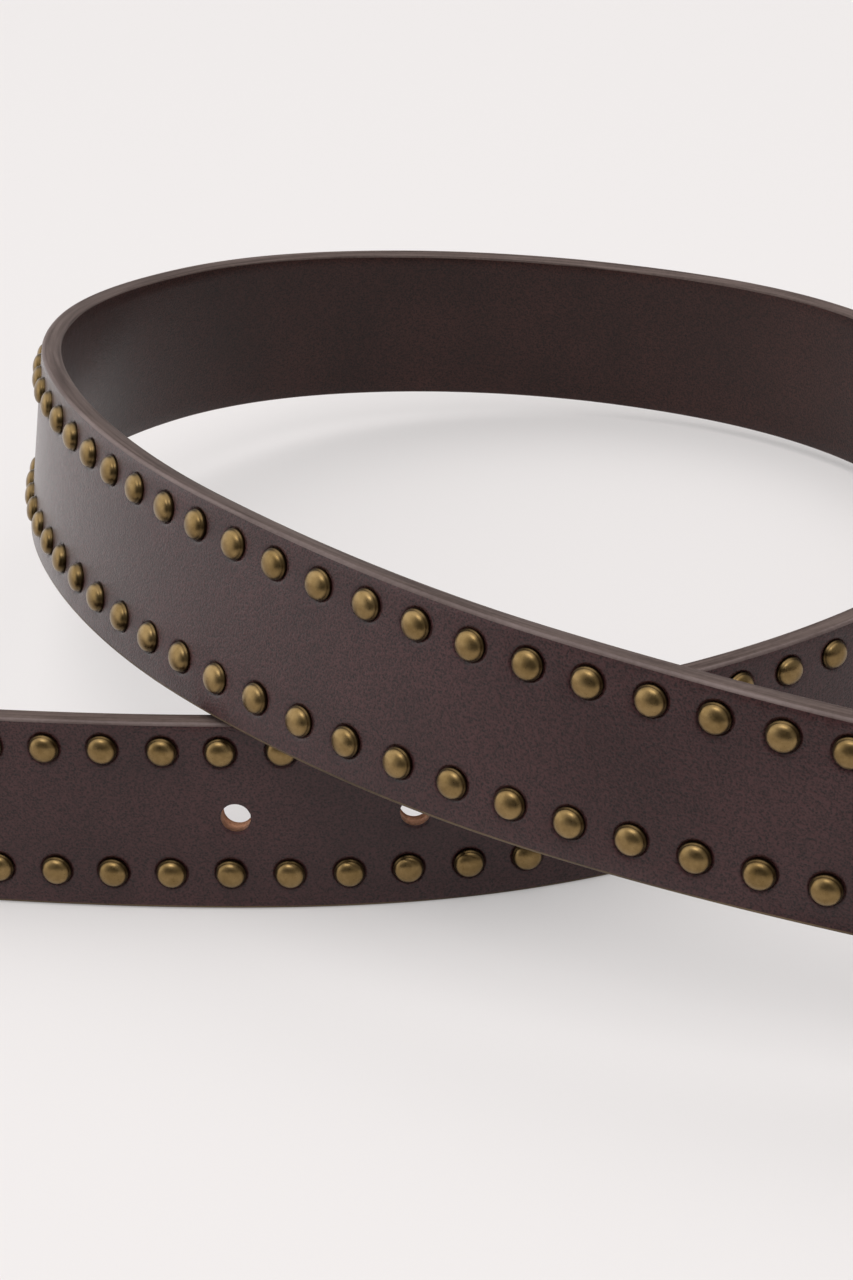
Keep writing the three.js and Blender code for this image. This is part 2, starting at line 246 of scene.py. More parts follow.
def place(flat):
    """World places, in metres, of points given along the sheet, across it and out of its face."""
    flat = np.asarray(flat, float)
    run, across, out = flat[:, 0], flat[:, 1:2], flat[:, 2:3]
    on_strap = np.minimum(run, FOLD_START)
    along_way, across_way, out_way = directions(on_strap)
    straight = middle(on_strap) + SHIFT + across * across_way + out * out_way
    past = np.maximum(run - FOLD_START, 0)
    x = np.interp(past, FOLD_RUN, FOLD_X)
    z = np.interp(past, FOLD_RUN, FOLD_Z)
    turn = np.interp(past, FOLD_RUN, FOLD_TURN)
    x = x[:, None] - out * np.sin(turn)[:, None]
    z = z[:, None] + out * np.cos(turn)[:, None]
    folded = BAR + x * bar_along + across * bar_across + z * bar_out
    return np.where((run > FOLD_START)[:, None], folded, straight) * MM


RIPPLE_WAVES = 5


def wave(x, y, seed):
    """A gentle seeded ripple between about -1 and 1, from a few crossed sines."""
    rng = np.random.default_rng(seed)
    total = 0 * x
    for _ in range(RIPPLE_WAVES):
        a, b = rng.uniform(-1, 1, 2)
        total = total + np.sin(a * x + b * y + rng.uniform(0, FULL_TURN))
    return total / math.sqrt(RIPPLE_WAVES)


def add_object(name, data):
    thing = bpy.data.objects.new(name, data)
    bpy.context.scene.collection.objects.link(thing)
    return thing


# Meshes as flat points and faces, each face with the number of its material
class Sheet:
    def __init__(self):
        self.points = []
        self.faces = []
        self.kinds = []
        self.count = 0

    def add(self, points, faces, kind):
        self.points.append(np.asarray(points, float))
        self.faces.extend([tuple(self.count + i for i in face) for face in faces])
        self.kinds.extend([kind] * len(faces))
        self.count += len(points)

    def grid(self, corners, kind, flip=False):
        """Quads over an array of points [rows, columns, 3]."""
        rows, columns = corners.shape[:2]
        index = np.arange(rows * columns).reshape(rows, columns)
        quads = np.stack([index[:-1, :-1], index[1:, :-1], index[1:, 1:], index[:-1, 1:]], -1)
        if flip:
            quads = quads[..., ::-1]
        self.add(corners.reshape(-1, 3), quads.reshape(-1, 4).tolist(), kind)

    def mesh(self, name, materials, warp):
        points = np.concatenate(self.points)
        key = np.round(points, 4)
        unique, inverse = np.unique(key, axis=0, return_inverse=True)
        inverse = inverse.reshape(-1)
        data = bpy.data.meshes.new(name)
        faces = []
        kinds = []
        for face, kind in zip(self.faces, self.kinds):
            corners = []
            for i in face:
                j = int(inverse[i])
                if j not in corners:
                    corners.append(j)
            if len(corners) > 2:
                faces.append(corners)
                kinds.append(kind)
        data.from_pydata(warp(unique).tolist(), [], faces)
        data.polygons.foreach_set("material_index", kinds)
        data.polygons.foreach_set("use_smooth", [True] * len(faces))
        layer = data.uv_layers.new(name="strap")
        corner_points = np.concatenate([np.array(face) for face in faces])
        flat = unique[corner_points]
        unrolled = np.column_stack([flat[:, 0], flat[:, 1] + flat[:, 2]])
        layer.data.foreach_set("uv", (unrolled * UV_PER_MM).reshape(-1).tolist())
        for material in materials:
            data.materials.append(material)
        data.update()
        return add_object(name, data)


# Materials
def new_material(name):
    material = bpy.data.materials.new(name)
    material.use_nodes = True
    tree = material.node_tree
    return material, tree, tree.nodes["Principled BSDF"]


def node(tree, kind, inputs=None, **settings):
    made = tree.nodes.new(kind)
    for key, value in settings.items():
        setattr(made, key, value)
    for key, value in (inputs or {}).items():
        if isinstance(value, bpy.types.NodeSocket):
            tree.links.new(value, made.inputs[key])
        else:
            made.inputs[key].default_value = value
    return made


def object_place(tree):
    return node(tree, "ShaderNodeTexCoord").outputs["Object"]


def strap_place(tree, scale):
    """The place on the unrolled strap, stretched along it and across it."""
    coordinates = node(tree, "ShaderNodeUVMap", uv_map="strap")
    inputs = {"Vector": coordinates.outputs[0], "Scale": scale}
    return node(tree, "ShaderNodeMapping", inputs).outputs[0]


def noise(tree, vector, scale, detail, rough):
    inputs = {"Vector": vector, "Scale": scale, "Detail": detail, "Roughness": rough}
    return node(tree, "ShaderNodeTexNoise", inputs).outputs["Fac"]


def mix(tree, factor, first, second, blend="MIX"):
    made = node(tree, "ShaderNodeMix", data_type="RGBA", blend_type=blend)
    for key, value in ((0, factor), (6, first), (7, second)):
        if isinstance(value, bpy.types.NodeSocket):
            tree.links.new(value, made.inputs[key])
        elif key == 0:
            made.inputs[key].default_value = value
        else:
            made.inputs[key].default_value = (*value, 1)
    return made.outputs[2]


def maths(tree, operation, first, second):
    return node(tree, "ShaderNodeMath", {0: first, 1: second}, operation=operation).outputs[0]


def weighted(tree, first, first_share, second, second_share):
    """The sum of two values, each times its share."""
    scaled_first = maths(tree, "MULTIPLY", first, first_share)
    scaled_second = maths(tree, "MULTIPLY", second, second_share)
    return maths(tree, "ADD", scaled_first, scaled_second)


def spread(tree, value, low, high, to_low=0.0, to_high=1.0):
    keys = {"Value": value, "From Min": low, "From Max": high, "To Min": to_low, "To Max": to_high}
    return node(tree, "ShaderNodeMapRange", keys).outputs[0]


def add_bump(tree, shader, height, strength, distance, socket="Normal"):
    keys = {"Height": height, "Strength": strength, "Distance": distance}
    bump = node(tree, "ShaderNodeBump", keys)
    tree.links.new(bump.outputs["Normal"], shader.inputs[socket])


# Scales of the textures, in object coordinates per metre
CLOUD_SCALE = 55.0
PEBBLE_SCALE = 2900.0
FIBRE_SCALE = 4200.0
WRINKLE_SCALE = 620.0
EDGE_GRAIN_SCALE = 1500.0
RAW_SCALE = 1800.0
PATCH_SCALE = 900.0
SCUFF_SCALE = 4200.0
BROAD_SCALE = 150.0

# Scales along and across the unrolled strap
CREASE_SCALE = (70.0, 300.0, 1.0)
STREAK_SCALE = (4.0, 120.0, 1.0)

# The middle of a noise's range, which spreads to a whole tone
NOISE_MIDDLE = (0.3, 0.7)

# How far the grain darkens and lightens the leather's colour
GRAIN_RANGE = (0.56, 0.90)
GRAIN_DARK = (0.31, 0.31, 0.31)
GRAIN_LIGHT = (1.75, 1.70, 1.70)

# Depths of the bumps, in metres
GRAIN_DEPTH = 0.00012
GLOSS_DEPTH = 0.00008
EDGE_DEPTH = 0.00014
RAW_DEPTH = 0.0002
SCUFF_DEPTH = 0.00003


def leather_material(name, colours, grain, rough, coat):
    """Dyed leather: cloudy colour, fine pebbled grain, short creases and a satin finish."""
    material, tree, shader = new_material(name)
    place_in = object_place(tree)
    cloud = noise(tree, place_in, CLOUD_SCALE, 4.0, 0.6)
    keys = {"Vector": place_in, "Scale": PEBBLE_SCALE, "Randomness": 1.0}
    cells = node(tree, "ShaderNodeTexVoronoi", keys)
    cells.feature = "SMOOTH_F1"
    fibre = noise(tree, place_in, FIBRE_SCALE, 3.0, 0.6)
    wrinkle = noise(tree, place_in, WRINKLE_SCALE, 4.0, 0.6)
    crease = noise(tree, strap_place(tree, CREASE_SCALE), 1.0, 3.0, 0.6)
    pebble = weighted(tree, cells.outputs["Distance"], 0.8, fibre, 1.0)
    fine = weighted(tree, pebble, 0.72, crease, 0.35)
    colour = mix(tree, spread(tree, cloud, *NOISE_MIDDLE), *colours)
    grainy = mix(tree, spread(tree, fine, *GRAIN_RANGE), GRAIN_DARK, GRAIN_LIGHT)
    tree.links.new(mix(tree, 1.0, colour, grainy, "MULTIPLY"), shader.inputs["Base Color"])
    patchy = weighted(tree, cloud, 0.5, wrinkle, 0.5)
    rough_value = spread(tree, patchy, 0.35, 0.65, rough - 0.05, rough + 0.06)
    tree.links.new(rough_value, shader.inputs["Roughness"])
    height = weighted(tree, fine, 1.0, wrinkle, 0.6)
    add_bump(tree, shader, height, grain, GRAIN_DEPTH)
    add_bump(tree, shader, height, 0.4 * grain, GLOSS_DEPTH, "Coat Normal")
    shader.inputs["Specular IOR Level"].default_value = 0.1
    shader.inputs["Coat Weight"].default_value = coat
    shader.inputs["Coat IOR"].default_value = 1.35
    shader.inputs["Coat Roughness"].default_value = 0.27
    return material


def edge_material(name, colours, rough):
    """Burnished cut edge: paler, with streaks that run the length of the strap; on the bevels the paler
    colours also hold a painted highlight and painted bounce light.
    """
    material, tree, shader = new_material(name)
    streak = noise(tree, strap_place(tree, STREAK_SCALE), 1.0, 4.0, 0.62)
    fine = noise(tree, object_place(tree), EDGE_GRAIN_SCALE, 3.0, 0.6)
    both = weighted(tree, streak, 0.75, fine, 0.25)
    colour = mix(tree, spread(tree, both, 0.38, 0.62), *colours)
    tree.links.new(colour, shader.inputs["Base Color"])
    rough_value = spread(tree, fine, *NOISE_MIDDLE, rough - 0.06, rough + 0.06)
    tree.links.new(rough_value, shader.inputs["Roughness"])
    add_bump(tree, shader, both, 0.4, EDGE_DEPTH)
    shader.inputs["Specular IOR Level"].default_value = 0.16
    return material


def raw_material(name, colours):
    """Undyed leather inside the punched holes."""
    material, tree, shader = new_material(name)
    fibre = noise(tree, object_place(tree), RAW_SCALE, 4.0, 0.65)
    colour = mix(tree, spread(tree, fibre, *NOISE_MIDDLE), *colours)
    tree.links.new(colour, shader.inputs["Base Color"])
    shader.inputs["Roughness"].default_value = 0.8
    add_bump(tree, shader, fibre, 0.5, RAW_DEPTH)
    return material


def brass_material(name, colours, rim_patina_and_shade=None):
    """Antiqued brass: warm satin metal, darkened in patches and, on a stud, towards its rim, where the
    darkening is patina in the crease plus painted shade.
    """
    material, tree, shader = new_material(name)
    place_in = object_place(tree)
    patch = noise(tree, place_in, PATCH_SCALE, 4.0, 0.62)
    scuff = noise(tree, place_in, SCUFF_SCALE, 2.0, 0.6)
    broad = noise(tree, place_in, BROAD_SCALE, 2.0, 0.5)
    tone = weighted(tree, patch, 0.55, broad, 0.45)
    colour = mix(tree, spread(tree, tone, 0.36, 0.62), *colours)
    # On a stud the rim is darkened towards its edge: patina in the crease plus painted shade.
    if rim_patina_and_shade is not None:
        rim_place = node(tree, "ShaderNodeUVMap", uv_map="dome")
        radius = node(tree, "ShaderNodeSeparateXYZ", {"Vector": rim_place.outputs[0]}).outputs["Y"]
        colour = mix(tree, spread(tree, radius, RIM_FROM, RIM_TO), colour, rim_patina_and_shade)
    tree.links.new(colour, shader.inputs["Base Color"])
    rough_value = spread(tree, scuff, *NOISE_MIDDLE, 0.27, 0.37)
    tree.links.new(rough_value, shader.inputs["Roughness"])
    shader.inputs["Metallic"].default_value = 1.0
    shader.inputs["Coat Weight"].default_value = 0.25
    shader.inputs["Coat Roughness"].default_value = 0.35
    add_bump(tree, shader, scuff, 0.07, SCUFF_DEPTH)
    return material


# Colours, as [darker, lighter], and the shares of a stud's radius between which its rim darkens with
# patina plus painted shade
FACE_COLOURS = ((0.0240, 0.0086, 0.0087), (0.0370, 0.0143, 0.0146))
BACK_COLOURS = ((0.0175, 0.0058, 0.0044), (0.0275, 0.0098, 0.0078))
EDGE_COLOURS = ((0.052, 0.033, 0.028), (0.130, 0.094, 0.083))
# The upper bevel's colours: paler burnished leather plus a painted highlight.
BEVEL_BURNISH_AND_HIGHLIGHT_COLOURS = ((0.094, 0.066, 0.060), (0.168, 0.126, 0.117))
# The lower bevel's colours: the tan of the raw edge, lightened as painted bounce light from the floor.
SOLE_PAINTED_BOUNCE_COLOURS = ((0.060, 0.040, 0.024), (0.150, 0.105, 0.062))
RAW_COLOURS = ((0.33, 0.15, 0.075), (0.60, 0.32, 0.19))
BRASS_COLOURS = ((0.158, 0.098, 0.031), (0.255, 0.168, 0.067))
# The stud rim's colour: patina plus painted shade from the dimple.
RIM_PATINA_AND_SHADE = (0.060, 0.036, 0.010)
RIM_FROM = 0.78
RIM_TO = 1.02

# The strap's materials, in the order of its faces' kinds
FACE, BACK, EDGE, BEVEL, SOLE, RAW = range(6)
LEATHERS = [
    leather_material("leather_face", FACE_COLOURS, grain=1.15, rough=0.42, coat=0.9),
    leather_material("leather_back", BACK_COLOURS, grain=0.60, rough=0.46, coat=0.6),
    edge_material("leather_edge", EDGE_COLOURS, rough=0.52),
    edge_material("leather_bevel_burnish_and_highlight", BEVEL_BURNISH_AND_HIGHLIGHT_COLOURS, rough=0.46),
    edge_material("leather_sole_painted_bounce", SOLE_PAINTED_BOUNCE_COLOURS, rough=0.55),
    raw_material("leather_raw", RAW_COLOURS),
]
brass_stud = brass_material("brass_stud", BRASS_COLOURS, RIM_PATINA_AND_SHADE)
brass_buckle = brass_material("brass_buckle", BRASS_COLOURS)


# The strap. Lines across its face bound a patch round each row of studs and a band between them
CELL_STEPS = 8
PATCH_LINES = 9
BACK_LINE_COUNT = 13
LOWER_PATCH_TOP = -4.85
UPPER_PATCH_LOW = 7.45
LOWER_LINES = np.linspace(LOWER_EDGE + EDGE_ROUND, LOWER_PATCH_TOP, PATCH_LINES)
BAND_LINES = np.concatenate([
    np.linspace(LOWER_PATCH_TOP, -SLOT_HALF, 3)[:-1],
    np.linspace(-SLOT_HALF, SLOT_HALF, 4)[:-1],
    np.linspace(SLOT_HALF, UPPER_PATCH_LOW, 4),
])
UPPER_LINES = np.linspace(UPPER_PATCH_LOW, UPPER_EDGE - EDGE_ROUND, PATCH_LINES)
FACE_LINES = np.concatenate([LOWER_LINES[:-1], BAND_LINES, UPPER_LINES[1:]])
BACK_LINES = np.linspace(LOWER_EDGE + INNER_ROUND, UPPER_EDGE - INNER_ROUND, BACK_LINE_COUNT)
stud_random = random.Random(SEED)


def pair_place(pair):
    return TIP_LENGTH + (pair + 0.5) * STUD_PITCH


def make_studs():
    """Every stud's place, its dimple's depth, its tilt and its turn, drawn once in order."""
    draw = stud_random.uniform
    studs = []
    for pair in range(STUD_PAIRS):
        for row in (LOWER_ROW, UPPER_ROW):
            run = pair_place(pair) + draw(-RUN_JITTER, RUN_JITTER)
            across = row + draw(-ROW_JITTER, ROW_JITTER)
            depth = DIMPLE_DEPTH * draw(1 - DEPTH_JITTER, 1 + DEPTH_JITTER)
            tilt = [math.radians(stud_random.gauss(0, TILT_SPREAD)) for _ in range(2)]
            sink = draw(-SINK_JITTER, SINK_JITTER)
            studs.append((run, across, depth, tilt, sink, draw(0, FULL_TURN)))
    return studs


STUDS = make_studs()


def square_ring(xs, ys):
    """Points round a rectangle's grid lines, counter-clockwise from its lower left corner."""
    lower = [(x, ys[0]) for x in xs[:-1]]
    right = [(xs[-1], y) for y in ys[:-1]]
    upper = [(x, ys[-1]) for x in xs[::-1][:-1]]
    left = [(xs[0], y) for y in ys[::-1][:-1]]
    return np.array(lower + right + upper + left)


def round_patch(sheet, edge, centre, radii, depths, kind, closed, flip=False):
    """Rings of quads from a rectangle's edge to circles round a centre, with each ring's depth."""
    count = len(edge)
    angles = np.arctan2(edge[:, 1] - centre[1], edge[:, 0] - centre[0])
    rings = [np.column_stack([edge, np.full(count, depths[0])])]
    for radius, depth in zip(radii, depths[1:]):
        ring = np.column_stack([
            centre[0] + radius * np.cos(angles),
            centre[1] + radius * np.sin(angles),
            np.full(count, depth),
        ])
        rings.append(ring)
    points = np.concatenate(rings)
    faces = []
    for k in range(len(rings) - 1):
        for i in range(count):
            j = (i + 1) % count
            quad = (k * count + i, k * count + j, (k + 1) * count + j, (k + 1) * count + i)
            faces.append(quad[::-1] if flip else quad)
    if closed:
        hub = len(points)
        points = np.concatenate([points, [[centre[0], centre[1], depths[-1]]]])
        for i in range(count):
            j = (i + 1) % count
            fan = ((len(rings) - 1) * count + i, (len(rings) - 1) * count + j, hub)
            faces.append(fan[::-1] if flip else fan)
    sheet.add(points, faces, kind)
    return rings[-1]


def flat_grid(xs, ys, out):
    gx, gy = np.meshgrid(xs, ys, indexing="ij")
    return np.stack([gx, gy, np.full_like(gx, out)], -1)


# The section's edge arcs, as [distance in from the edge, depth], from the face to the back
def edge_profile(thickness):
    outer = []
    for i in range(EDGE_ARC_STEPS + 1):
        angle = i / EDGE_ARC_STEPS * math.pi / 2
        outer.append((EDGE_ROUND * (1 - math.sin(angle)), -EDGE_ROUND * (1 - math.cos(angle))))
    inner = [(0, -thickness + INNER_ROUND), (INNER_ROUND * 0.3, -thickness + INNER_ROUND * 0.3)]
    return outer, inner + [(INNER_ROUND, -thickness)]


def edge_strips(sheet, xs, shares, skin=None):
    """Bevel, cut edge and inner arris on both sides, for places along and shares of the width."""
    outer, inner = edge_profile(STRAP_THICKNESS)
    skin = np.zeros(len(xs)) if skin is None else skin
    for side in (-1, 1):
        # The upper bevel's colours hold a painted highlight, and the lower bevel's colours hold painted
        # bounce light from the floor.
        bevel = BEVEL if side > 0 else SOLE
        full = UPPER_EDGE if side > 0 else -LOWER_EDGE
        for profile, kind in ((outer, bevel), ([outer[-1], inner[0]], EDGE), (inner, EDGE)):
            corners = []
            for x, share, drop in zip(xs, shares, skin):
                line = []
                for inset, depth in profile:
                    reach = max(full * share - inset, 0)
                    line.append((x, side * reach, max(depth + drop, -STRAP_THICKNESS)))
                corners.append(line)
            sheet.grid(np.array(corners), kind, flip=side < 0)


def has_hole(pair):
    past = pair - LEAD_PAIRS
    return past >= 0 and past % HOLE_PAIRS == 0 and past // HOLE_PAIRS < HOLE_COUNT


def stud_cell(sheet, pair):
    """One pair's length of strap: dimpled patches, the band between them, edges and back."""
    x0 = TIP_LENGTH + pair * STUD_PITCH
    xs = np.linspace(x0, x0 + STUD_PITCH, CELL_STEPS + 1)
    for number, lines in enumerate((LOWER_LINES, UPPER_LINES)):
        run, across, depth, _, _, _ = STUDS[2 * pair + number]
        radii = [STUD_DIAMETER / 2 + beyond for beyond, _ in DIMPLE_RINGS]
        depths = [0] + [-share * depth for _, share in DIMPLE_RINGS]
        round_patch(sheet, square_ring(xs, lines), (run, across), radii, depths, FACE, True)
    if has_hole(pair):
        pierced_band(sheet, xs, pair_place(pair) + HOLE_SHIFT)
    else:
        sheet.grid(flat_grid(xs, BAND_LINES, 0), FACE)
        sheet.grid(flat_grid(xs, BACK_LINES, -STRAP_THICKNESS), BACK, flip=True)
    edge_strips(sheet, xs, [1] * len(xs))


def pierced_band(sheet, xs, hole_x):
    """The band and the back round one punched hole, with the hole's raw wall."""
    hole = HOLE_DIAMETER / 2
    back = -STRAP_THICKNESS
    centre = (hole_x, 0)
    radii = [hole + beyond for beyond, _ in HOLE_RIM]
    depths = [0] + [-depth for _, depth in HOLE_RIM]
    rim = round_patch(sheet, square_ring(xs, BAND_LINES), centre, radii, depths, FACE, False)
    radii = [hole + beyond for beyond, _ in HOLE_BACK_RIM]
    depths = [back] + [back + depth for _, depth in HOLE_BACK_RIM]
    back_edge = square_ring(xs, BACK_LINES)
    back_rim = round_patch(sheet, back_edge, centre, radii, depths, BACK, False, flip=True)
    hole_wall(sheet, hole_x, rim, back_rim)


def hole_wall(sheet, x, rim, back_rim):
    """The raw wall between the hole's two rims, whose points stand at different angles."""
    rims = []
    for points in (rim, back_rim):
        angles = np.arctan2(points[:, 1], points[:, 0] - x)
        order = np.argsort(angles)
        rims.append((order.tolist(), angles[order].tolist() + [math.inf]))
    (front, front_angles), (back, back_angles) = rims
    shift = len(rim)
    faces = []
    i = 0
    j = 0
    while i < len(front) or j < len(back):
        a = front[i % len(front)]
        b = shift + back[j % len(back)]
        if front_angles[i] <= back_angles[j]:
            i += 1
            faces.append((a, b, front[i % len(front)]))
        else:
            j += 1
            faces.append((a, b, shift + back[j % len(back)]))
    sheet.add(np.concatenate([rim, back_rim]), faces, RAW)


TIP_STEPS = 14
NOSE_ANGLE = 4


def tip_sheet(sheet):
    """The round end of the tail, from a narrow nose to the first pair's cell."""
    angles = np.radians(np.linspace(NOSE_ANGLE, 90, TIP_STEPS + 1))
    xs = TIP_LENGTH * (1 - np.cos(angles))
    shares = np.sin(angles)
    face_side = (FACE_LINES, EDGE_ROUND, 0, FACE)
    back_side = (BACK_LINES, INNER_ROUND, -STRAP_THICKNESS, BACK)
    for lines, inset, out, kind in (face_side, back_side):
        steps_across = (lines - lines[0]) / (lines[-1] - lines[0])
        corners = []
        for x, share in zip(xs, shares):
            low = min(LOWER_EDGE * share + inset, 0)
            high = max(UPPER_EDGE * share - inset, 0)
            corners.append([(x, low + (high - low) * step, out) for step in steps_across])
        sheet.grid(np.array(corners), kind, flip=kind == BACK)
    edge_strips(sheet, xs, shares)
    outer, inner = edge_profile(STRAP_THICKNESS)
    nose = []
    for full, order in ((LOWER_EDGE, inner[::-1] + outer[::-1]), (UPPER_EDGE, outer + inner)):
        sign = math.copysign(1, full)
        for inset, depth in order:
            nose.append((xs[0], sign * max(abs(full) * shares[0] - inset, 0), depth))
    sheet.add(nose, [tuple(range(len(nose)))], BEVEL)


# Counts of the lines across the fold: before the slot, along it, on the flap and on its skive
PLAIN_LINES = 14
SLOT_LINES = 49
FLAP_LINES = 18
SKIVE_LINES = 9
NEAR = 0.001


def fold_sheet(sheet):
    """The plain stretch at the buckle, the fold with its slot, and the flap on the back."""
    start = TIP_LENGTH + STUD_PAIRS * STUD_PITCH
    wrap_from = FOLD_START + SWEEP_ARC
    slot_from = min(STRAP_LENGTH - SLOT_BACK, wrap_from)
    slot_to = wrap_from + WRAP_ARC + (wrap_from - slot_from)
    xs = np.concatenate([
        np.linspace(start, slot_from, PLAIN_LINES)[:-1],
        np.linspace(slot_from, slot_to, SLOT_LINES)[:-1],
        np.linspace(slot_to, SHEET_LENGTH - FLAP_SKIVE, FLAP_LINES)[:-1],
        np.linspace(SHEET_LENGTH - FLAP_SKIVE, SHEET_LENGTH, SKIVE_LINES),
    ])
    slope = np.clip((xs - (SHEET_LENGTH - FLAP_SKIVE)) / FLAP_SKIVE, 0, 1)
    skin = -(STRAP_THICKNESS - FLAP_END_THICKNESS) * slope
    back_lines = np.concatenate([BACK_LINES[:1], FACE_LINES[1:-1], BACK_LINES[-1:]])
    for i in range(len(xs) - 1):
        in_slot = slot_from - NEAR < xs[i] < slot_to - NEAR
        for j in range(len(FACE_LINES) - 1):
            if in_slot and abs(FACE_LINES[j] + FACE_LINES[j + 1]) / 2 < SLOT_HALF:
                continue
            face = []
            back = []
            for a in (i, i + 1):
                face.append([(xs[a], FACE_LINES[b], skin[a]) for b in (j, j + 1)])
                back.append([(xs[a], back_lines[b], -STRAP_THICKNESS) for b in (j, j + 1)])
            sheet.grid(np.array(face), FACE)
            sheet.grid(np.array(back), BACK, flip=True)
    levels = (0, -STRAP_THICKNESS)
    slot_xs = xs[(xs >= slot_from - NEAR) & (xs <= slot_to + NEAR)]
    for side in (-1, 1):
        cheek = [[(x, side * SLOT_HALF, out) for out in levels] for x in slot_xs]
        sheet.grid(np.array(cheek), EDGE, flip=side > 0)
    slot_lines = FACE_LINES[np.abs(FACE_LINES) <= SLOT_HALF + NEAR]
    for x, flip in ((slot_from, False), (slot_to, True)):
        slot_end = [[(x, y, out) for out in levels] for y in slot_lines]
        sheet.grid(np.array(slot_end), EDGE, flip=flip)
    edge_strips(sheet, xs, [1] * len(xs), skin)
    flap_end = []
    for face_line, back_line in zip(FACE_LINES, back_lines):
        upper = (SHEET_LENGTH, face_line, skin[-1])
        flap_end.append([upper, (SHEET_LENGTH, back_line, -STRAP_THICKNESS)])
    sheet.grid(np.array(flap_end), EDGE)


# Ripples of the studded face and of the upper edge: height, wavelengths and how deep they reach
RIPPLE_HEIGHT = 0.05
RIPPLE_ALONG = 9
RIPPLE_ACROSS = 6
RIPPLE_DEPTH = 1.2
WANDER_HEIGHT = 0.06
WANDER_ALONG = 14
WANDER_REACH = 1.4
FACE_MARGIN = EDGE_ROUND - 0.01


def strap_warp(flat):
    """Bends the flat sheet onto its route, with the small ripples of a handled strap."""
    run, across, out = flat[:, 0], flat[:, 1], flat[:, 2]
    on_face = (across > LOWER_EDGE + FACE_MARGIN) & (across < UPPER_EDGE - FACE_MARGIN)
    skin_share = np.clip(1 + out / RIPPLE_DEPTH, 0, 1) * on_face
    ripple = RIPPLE_HEIGHT * wave(run / RIPPLE_ALONG, across / RIPPLE_ACROSS, SEED) * skin_share
    near_top = np.clip((across - UPPER_EDGE + WANDER_REACH) / WANDER_REACH, 0, 1)
    wander = WANDER_HEIGHT * wave(run / WANDER_ALONG, 0 * run, SEED + 1) * near_top
    return place(np.column_stack([run, across + wander, out + ripple]))


def make_strap():
    sheet = Sheet()
    tip_sheet(sheet)
    for pair in range(STUD_PAIRS):
        stud_cell(sheet, pair)
    fold_sheet(sheet)
    return sheet.mesh("leather_strap", LEATHERS, strap_warp)


# A stud: a foot sunk in the leather, a tight shoulder and a low dome. The foot is given as
# [distance in from the wall, height], the shoulder as [distance in from the wall, rise]
DOME_SIDES = 28
DOME_STEPS = 9
STUD_FOOT = ((0.15, -0.75), (0.0, -0.5))
SHOULDER_TURN = ((0.0, -0.14), (0.04, -0.02), (0.14, 0.07))


def dome_profile():
    """The stud's outline as [radius, height], without the point at its top."""
    wall = STUD_DIAMETER / 2
    points = [(wall - inset, height) for inset, height in STUD_FOOT]
    points += [(wall - inset, STUD_SHOULDER + rise) for inset, rise in SHOULDER_TURN]
    crown, base = points[-1]
    for i in range(1, DOME_STEPS):
        angle = i / DOME_STEPS * math.pi / 2
        points.append((crown * math.cos(angle), base + (STUD_HEIGHT - base) * math.sin(angle)))
    return points


def make_dome_mesh():
    profile = dome_profile()
    points = []
    faces = []
    for radius, height in profile:
        for i in range(DOME_SIDES):
            angle = 2 * math.pi * i / DOME_SIDES
            points.append((radius * math.cos(angle), radius * math.sin(angle), height))
    points.append((0, 0, STUD_HEIGHT))
    for k in range(len(profile) - 1):
        ring = k * DOME_SIDES
        after = ring + DOME_SIDES
        for i in range(DOME_SIDES):
            j = (i + 1) % DOME_SIDES
            faces.append((ring + i, ring + j, after + j, after + i))
    hub = len(points) - 1
    top = (len(profile) - 1) * DOME_SIDES
    for i in range(DOME_SIDES):
        faces.append((top + i, top + (i + 1) % DOME_SIDES, hub))
    faces.append(tuple(reversed(range(DOME_SIDES))))
    return np.array(points), faces


def make_stud_row(name, row):
    """One row of studs as a single mesh: row 0 is the lower one and row 1 the upper one."""
    shape, shape_faces = make_dome_mesh()
    rim_shares = np.hypot(shape[:, 0], shape[:, 1]) / (STUD_DIAMETER / 2)
    points = []
    faces = []
    for run, across, _, tilt, sink, turn in STUDS[row::2]:
        lean = Matrix.Rotation(tilt[0], 3, "X") @ Matrix.Rotation(tilt[1], 3, "Y")
        spin = lean @ Matrix.Rotation(turn, 3, "Z")
        turned = shape @ np.array(spin).T
        turned[:, 2] += sink - STUD_SEAT
        ways = np.array([way[0] for way in directions([run])])
        centre = middle([run])[0] + SHIFT + across * ways[1]
        start = len(points)
        points.extend(((centre + turned @ ways) * MM).tolist())
        faces.extend([tuple(start + i for i in face) for face in shape_faces])
    data = bpy.data.meshes.new(name)
    data.from_pydata(points, [], faces)
    data.polygons.foreach_set("use_smooth", [True] * len(faces))
    layer = data.uv_layers.new(name="dome")
    corners = np.concatenate([np.array(face) for face in faces])
    uv = np.zeros((len(corners), 2))
    uv[:, 1] = rim_shares[corners % len(shape)]
    layer.data.foreach_set("uv", uv.reshape(-1).tolist())
    data.materials.append(brass_stud)
    data.update()
    return add_object(name, data)


# The buckle: a round wire frame and a tapered prong that is bent round the bar
WIRE_SIDES = 20
FAR_CORNER_STEPS = 10
BAR_CORNER_STEPS = 6
PRONG_STEPS = 26
PRONG_TAPER = 0.3
PRONG_BOW = 0.16
PRONG_TIP = (0.86, 0.5)
PRONG_SEAT = 0.35
PRONG_OVER_FRAME = 0.7


